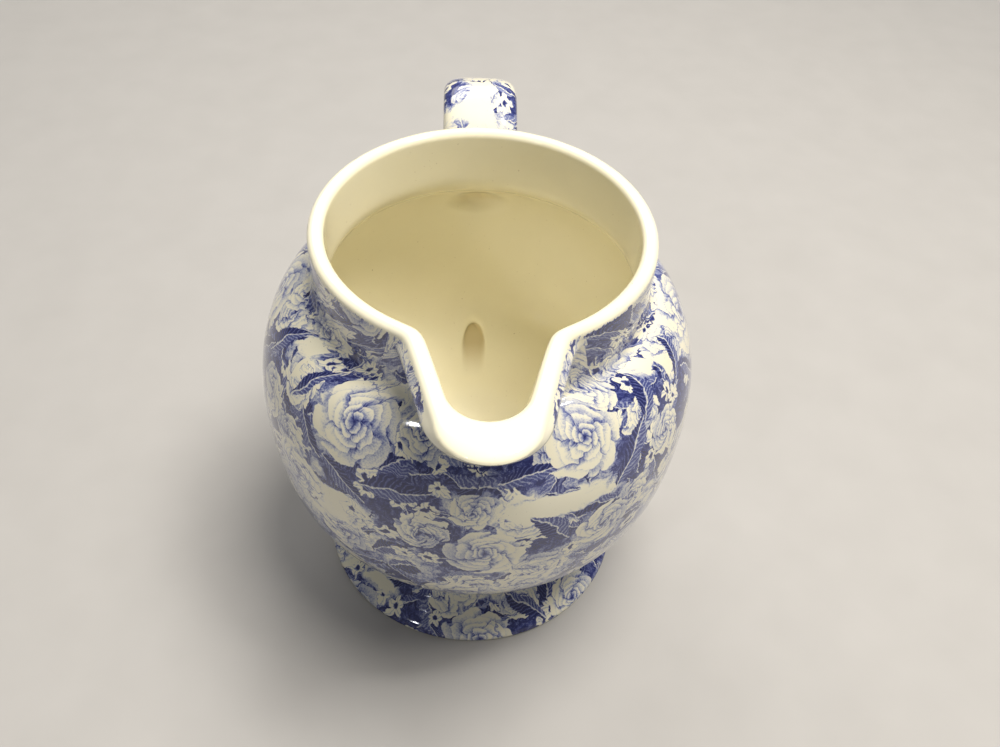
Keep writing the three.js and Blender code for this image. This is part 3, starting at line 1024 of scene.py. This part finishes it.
def plain_glaze():
    """Plain glaze, darker in the hollows: partly glaze pooled there, partly painted shade in them."""
    material, graph = new_material("plain_cream_glaze")
    place = object_place(graph)
    pooling_and_shade = graph.attribute("pooling_and_shade")
    colour = graph.mix_colour(cream_colour(graph, place, INSIDE_CREAM_WITH_PAINTED_LIGHT, 0.3), POOLED_GLAZE_AND_SHADE, pooling_and_shade)
    glaze_finish(graph, colour, place)
    return material


def printed_glaze(name, density, large_roses, patches=()):
    """The glaze over the blue print, read at the places stored on the mesh.

    `density` is the print's average tone, `large_roses` (0 or 1) lays the plate's own design, and each of the
    patches is an extra tuft of print.
    """
    material, graph = new_material(name)
    place = object_place(graph)
    u, v, _ = graph.split(graph.out(graph.node("UVMap", uv_map="print")))
    ragged = graph.noise(graph.vector(u * BELLY_SCALE, v), 0.8, 3.0, 0.7)
    above = graph.attribute("above_crease")
    on_neck = graph.step(-0.05, 0.05, above + (ragged - 0.5) * 1.6)
    u = u * graph.mix(float(BELLY_SCALE), float(NECK_SCALE), on_neck)
    v = v + on_neck * float(SHEET_STEP)
    below = graph.attribute("below_rim")
    edge = below + ragged * 1.8 - 0.9
    # Painted shade: the print on the outside of the neck is made 0.2 darker in tone, for the shade on the
    # neck wall.
    tone = graph.step(4.5, 1.0, edge, 0.26) + on_neck * 0.2 + density
    # Painted shade: towards the bottom the print grows darker, partly denser print and partly painted shade
    # on the lower belly and foot.
    tone = tone + graph.step(50.0, 15.0, v, 0.08 * large_roses)
    tone = tone + drifts(graph, u, v, patches)
    ink, = use_group(graph, PRINT, [u, v, tone, large_roses])
    ink = ink * graph.step(1.1, 1.45, edge)
    tinted = ramp(graph, INK_RAMP, ink)
    colour = graph.mix_colour(cream_colour(graph, place, CREAM, 0.6), tinted, graph.step(0.0, 0.12, ink))
    glaze_finish(graph, colour, place)
    return material


def biscuit():
    """Bare fired clay, where the glaze was wiped off the foot's tread."""
    material, graph = new_material("bare_fired_clay")
    place = object_place(graph)
    grit = graph.noise(place, 2.2, 4.0, 0.7, dimensions="3D")
    colour = graph.mix_colour(PALE_CLAY, DARK_CLAY, graph.step(0.4, 0.7, grit))
    bump = graph.node("Bump", {"Height": grit, "Strength": 0.5, "Distance": 0.0003})
    shader = graph.node("BsdfPrincipled",
                        {"Base Color": colour, "Roughness": 0.85, "Normal": graph.out(bump)})
    graph.finish(shader)
    return material


PRINT = print_group()
PLAIN = plain_glaze()
BOWL_PRINT = printed_glaze("printed_glaze_bowl", 0.535, 1.0)
STRAP_TUFTS = (  # place round the section, place along the strap, half width, half height, darkness
    (530, 23.5, 7, 7, 0.7),
    (514, 21, 7, 7, 0.35),
    (523, 55, 10, 10, 0.3),
    (523, 82, 9, 9, 0.25),
    (523, 108, 9, 9, 0.3),
)
STRAP_PRINT = printed_glaze("printed_glaze_strap", 0.30, 0.0, STRAP_TUFTS)
BISCUIT = biscuit()


# Partly pooled glaze and partly painted shade in the hollows.
UPPER_POOL_AND_SHADE, LOWER_POOL_AND_SHADE = 0.36, 0.52  # how much each millimetre of a hollow's depth darkens its glaze


def set_materials(obj, materials, numbers=None):
    """Gives the piece its materials. A face takes the number that its vertices share, or else number 0."""
    obj.data.materials.clear()
    for material in materials:
        obj.data.materials.append(material)
    if numbers is None:
        return
    for polygon in obj.data.polygons:
        found = {int(numbers[k]) for k in polygon.vertices}
        polygon.material_index = found.pop() if len(found) == 1 else 0


def paint_shell(obj):
    """Printed outside, plain glaze inside."""
    depth = shell_depth(obj)
    inside = depth < INSIDE_MARK + 0.1
    lay_bowl_print(obj)
    store_value(obj, "below_rim", depth)
    _, angle, z = round_places(obj)
    # Painted shade: the inside glaze is darkened by each hollow's depth, partly as pooled glaze.
    hollow = np.maximum(dimple_depth(angle, z), 0)
    pool_and_shade_darkening = np.where(z > BELLY_Z, UPPER_POOL_AND_SHADE, LOWER_POOL_AND_SHADE)
    store_value(obj, "pooling_and_shade", np.where(inside, hollow * pool_and_shade_darkening, 0))
    set_materials(obj, (BOWL_PRINT, PLAIN), inside.astype(int))


def paint_on_bowl(obj):
    """A small piece that lies on the bowl and carries on its print."""
    lay_bowl_print(obj)
    _, _, z = round_places(obj)
    store_value(obj, "below_rim", HEIGHT - z)
    set_materials(obj, (BOWL_PRINT,))


def paint_foot(obj, profile):
    """Print on the skirt, bare clay on the tread, plain glaze in the hollow."""
    lay_turned_print(obj, profile, FOOT_SCALE, -SHEET_STEP)
    radius, _, z = round_places(obj)
    store_value(obj, "below_rim", np.clip((z - 0.5) * 6 + 1, -2, FAR_BELOW_RIM))
    tread = z < 0.3
    hollow = radius < np.maximum(FOOT_R - 4.6 - z * 1.15, FOOT_BORE_R + 1)
    set_materials(obj, (BOWL_PRINT, PLAIN, BISCUIT), np.where(tread, 2, np.where(hollow, 1, 0)))


def paint_strap(obj, grid):
    """Print round and along the strap; the sheet's seam lies on the strap's inner face."""
    section = grid[STRAP_STATIONS // 2]
    sides = np.linalg.norm(np.diff(section, axis=0, append=section[:1]), axis=1)
    girth = sides.sum()
    round_section = np.cumsum(sides) - sides[0]
    inner_face = round_section[3 * STRAP_COLUMNS // 4]
    u = ((round_section - inner_face) % girth + STRAP_SHEET_U) / BELLY_SCALE
    v = np.linspace(0, STRAP_LENGTH, STRAP_STATIONS)
    store_print(obj, np.tile(u, STRAP_STATIONS), np.repeat(v, STRAP_COLUMNS), girth / BELLY_SCALE)
    store_value(obj, "above_crease", BELOW_CREASE)
    store_value(obj, "below_rim", FAR_BELOW_RIM)
    set_materials(obj, (STRAP_PRINT,))


# ---- Build ----

bowl, spout, spout_lute = bowl_pieces()
for piece in (bowl, spout, spout_lute):
    paint_shell(piece)
foot = turned("splayed_foot", foot_profile())
paint_foot(foot, foot_profile())
foot_lute = turned("foot_slip_seam", foot_lute_profile())
paint_on_bowl(foot_lute)
handle, upper_lute, lower_lute = handle_objects()
paint_on_bowl(upper_lute)
paint_on_bowl(lower_lute)

PIECES = (  # the piece, the CAD node it stands for, and its material slot
    (bowl, "jug_body", "printed_glaze"),
    (spout, "pouring_spout", "printed_glaze"),
    (foot, "foot_ring", "printed_glaze"),
    (handle, "handle", "printed_glaze"),
    (spout_lute, "spout_lute", "slip"),
    (foot_lute, "foot_lute", "slip"),
    (upper_lute, "handle_upper_lute", "slip"),
    (lower_lute, "handle_lower_lute", "slip"),
)
for piece, node, slot in PIECES:
    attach(piece, "root")
    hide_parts(node)


# ---- Stage, light and camera ----

FLOOR_SIZE = 4  # metres, as everything on the stage
FLOOR_PALE = (0.46, 0.45, 0.44, 1.0)
FLOOR_DARK = (0.42, 0.41, 0.40, 1.0)
SURROUNDINGS = (0.97, 0.97, 0.96, 1.0)
BACKDROP_LIGHT = 0.66  # as the camera sees it
AMBIENT_LIGHT = 0.16  # as the jug sees it


def floor_object():
    """A pale floor that fades into the pale surroundings before its edge."""
    bm = bmesh.new()
    bmesh.ops.create_grid(bm, x_segments=2, y_segments=2, size=FLOOR_SIZE)
    mesh = bpy.data.meshes.new("floor")
    bm.to_mesh(mesh)
    bm.free()
    obj = new_object("floor", mesh)
    material, graph = new_material("pale_floor")
    place = graph.out(graph.node("TexCoord"), "Object")
    distance = graph.out(graph.node("VectorMath", {0: place}, operation="LENGTH"), 1)
    grain = graph.noise(place, 60.0, dimensions="3D")
    colour = graph.mix_colour(FLOOR_PALE, FLOOR_DARK, grain)
    shader = graph.node("BsdfPrincipled", {"Base Color": colour, "Roughness": 0.75})
    glow = graph.node("Emission", {0: SURROUNDINGS, 1: BACKDROP_LIGHT})
    seen = graph.out(graph.node("LightPath"), "Is Camera Ray")
    fade = graph.step(0.3, 1.3, distance) * graph.mix(0.2, 1.0, seen)
    mixed = graph.node("MixShader", {0: fade})
    graph.tree.links.new(shader.outputs[0], mixed.inputs[1])
    graph.tree.links.new(glow.outputs[0], mixed.inputs[2])
    graph.finish(mixed)
    mesh.materials.append(material)


def area_light(name, location, target, size, power, colour, mirrored=True):
    """An oval light; one that isn't mirrored leaves no bright patch in the glaze."""
    light = bpy.data.lights.new(name, "AREA")
    light.shape = "ELLIPSE"
    light.size, light.size_y = size
    light.energy = power
    light.color = colour
    obj = new_object(name, light)
    obj.location = location
    obj.visible_glossy = mirrored
    obj.rotation_mode = "QUATERNION"
    obj.rotation_quaternion = (Vector(target) - Vector(location)).to_track_quat("-Z", "Y")


def soft_studio():
    """A large soft light overhead, a weaker one behind, and two small ones that glint in the glaze."""
    target = (0, AXIS_Y * MM, HEIGHT * MM * 0.6)
    area_light("overhead", (0.2, 0.0, 0.8), target, (0.5, 0.45), 8.2, (1.0, 0.945, 0.86), mirrored=False)
    area_light("rear", (-0.15, 0.45, 0.6), target, (0.5, 0.5), 1.6, (1.0, 0.97, 0.92))
    area_light("lamp", (0.3, -0.06, 0.8), target, (0.06, 0.16), 1.1, (1.0, 0.97, 0.9))
    area_light("window", (-0.46, -0.58, 0.65), target, (0.05, 0.1), 0.5, (0.95, 0.97, 1.0))
    world = bpy.data.worlds.new("studio")
    bpy.context.scene.world = world
    world.use_nodes = True
    world.node_tree.nodes.clear()
    graph = Graph(world.node_tree)
    seen = graph.out(graph.node("LightPath"), "Is Camera Ray")
    brightness = graph.mix(AMBIENT_LIGHT, BACKDROP_LIGHT, seen)
    background = graph.node("Background", {0: SURROUNDINGS, 1: brightness})
    graph.finish(background, "OutputWorld")


def hand_held_camera():
    """A camera close above the spout side, turned a little and tilted."""
    yaw, pitch, roll = math.radians(4.45), math.radians(47.11), math.radians(3.94)
    forward = Vector((math.sin(yaw) * math.cos(pitch), math.cos(yaw) * math.cos(pitch), -math.sin(pitch)))
    level = Vector((math.cos(yaw), -math.sin(yaw), 0))
    upward = level.cross(forward)
    right = math.cos(roll) * level + math.sin(roll) * upward
    up = -math.sin(roll) * level + math.cos(roll) * upward
    rim_centre = Vector((0, AXIS_Y, HEIGHT))
    away = Vector((-6.25, -147.4, 114.5))  # millimetres
    camera = bpy.data.cameras.new("camera")
    camera.lens, camera.sensor_width = 33.12, 36
    camera.clip_start = 0.01
    obj = new_object("camera", camera)
    rotation = Matrix((right, up, -forward)).transposed()
    obj.matrix_world = Matrix.Translation((rim_centre + away) * MM) @ rotation.to_4x4()
    bpy.context.scene.camera = obj


floor_object()
soft_studio()
hand_held_camera()
bpy.context.scene.view_settings.view_transform = "Standard"

bpy.context.view_layer.update()
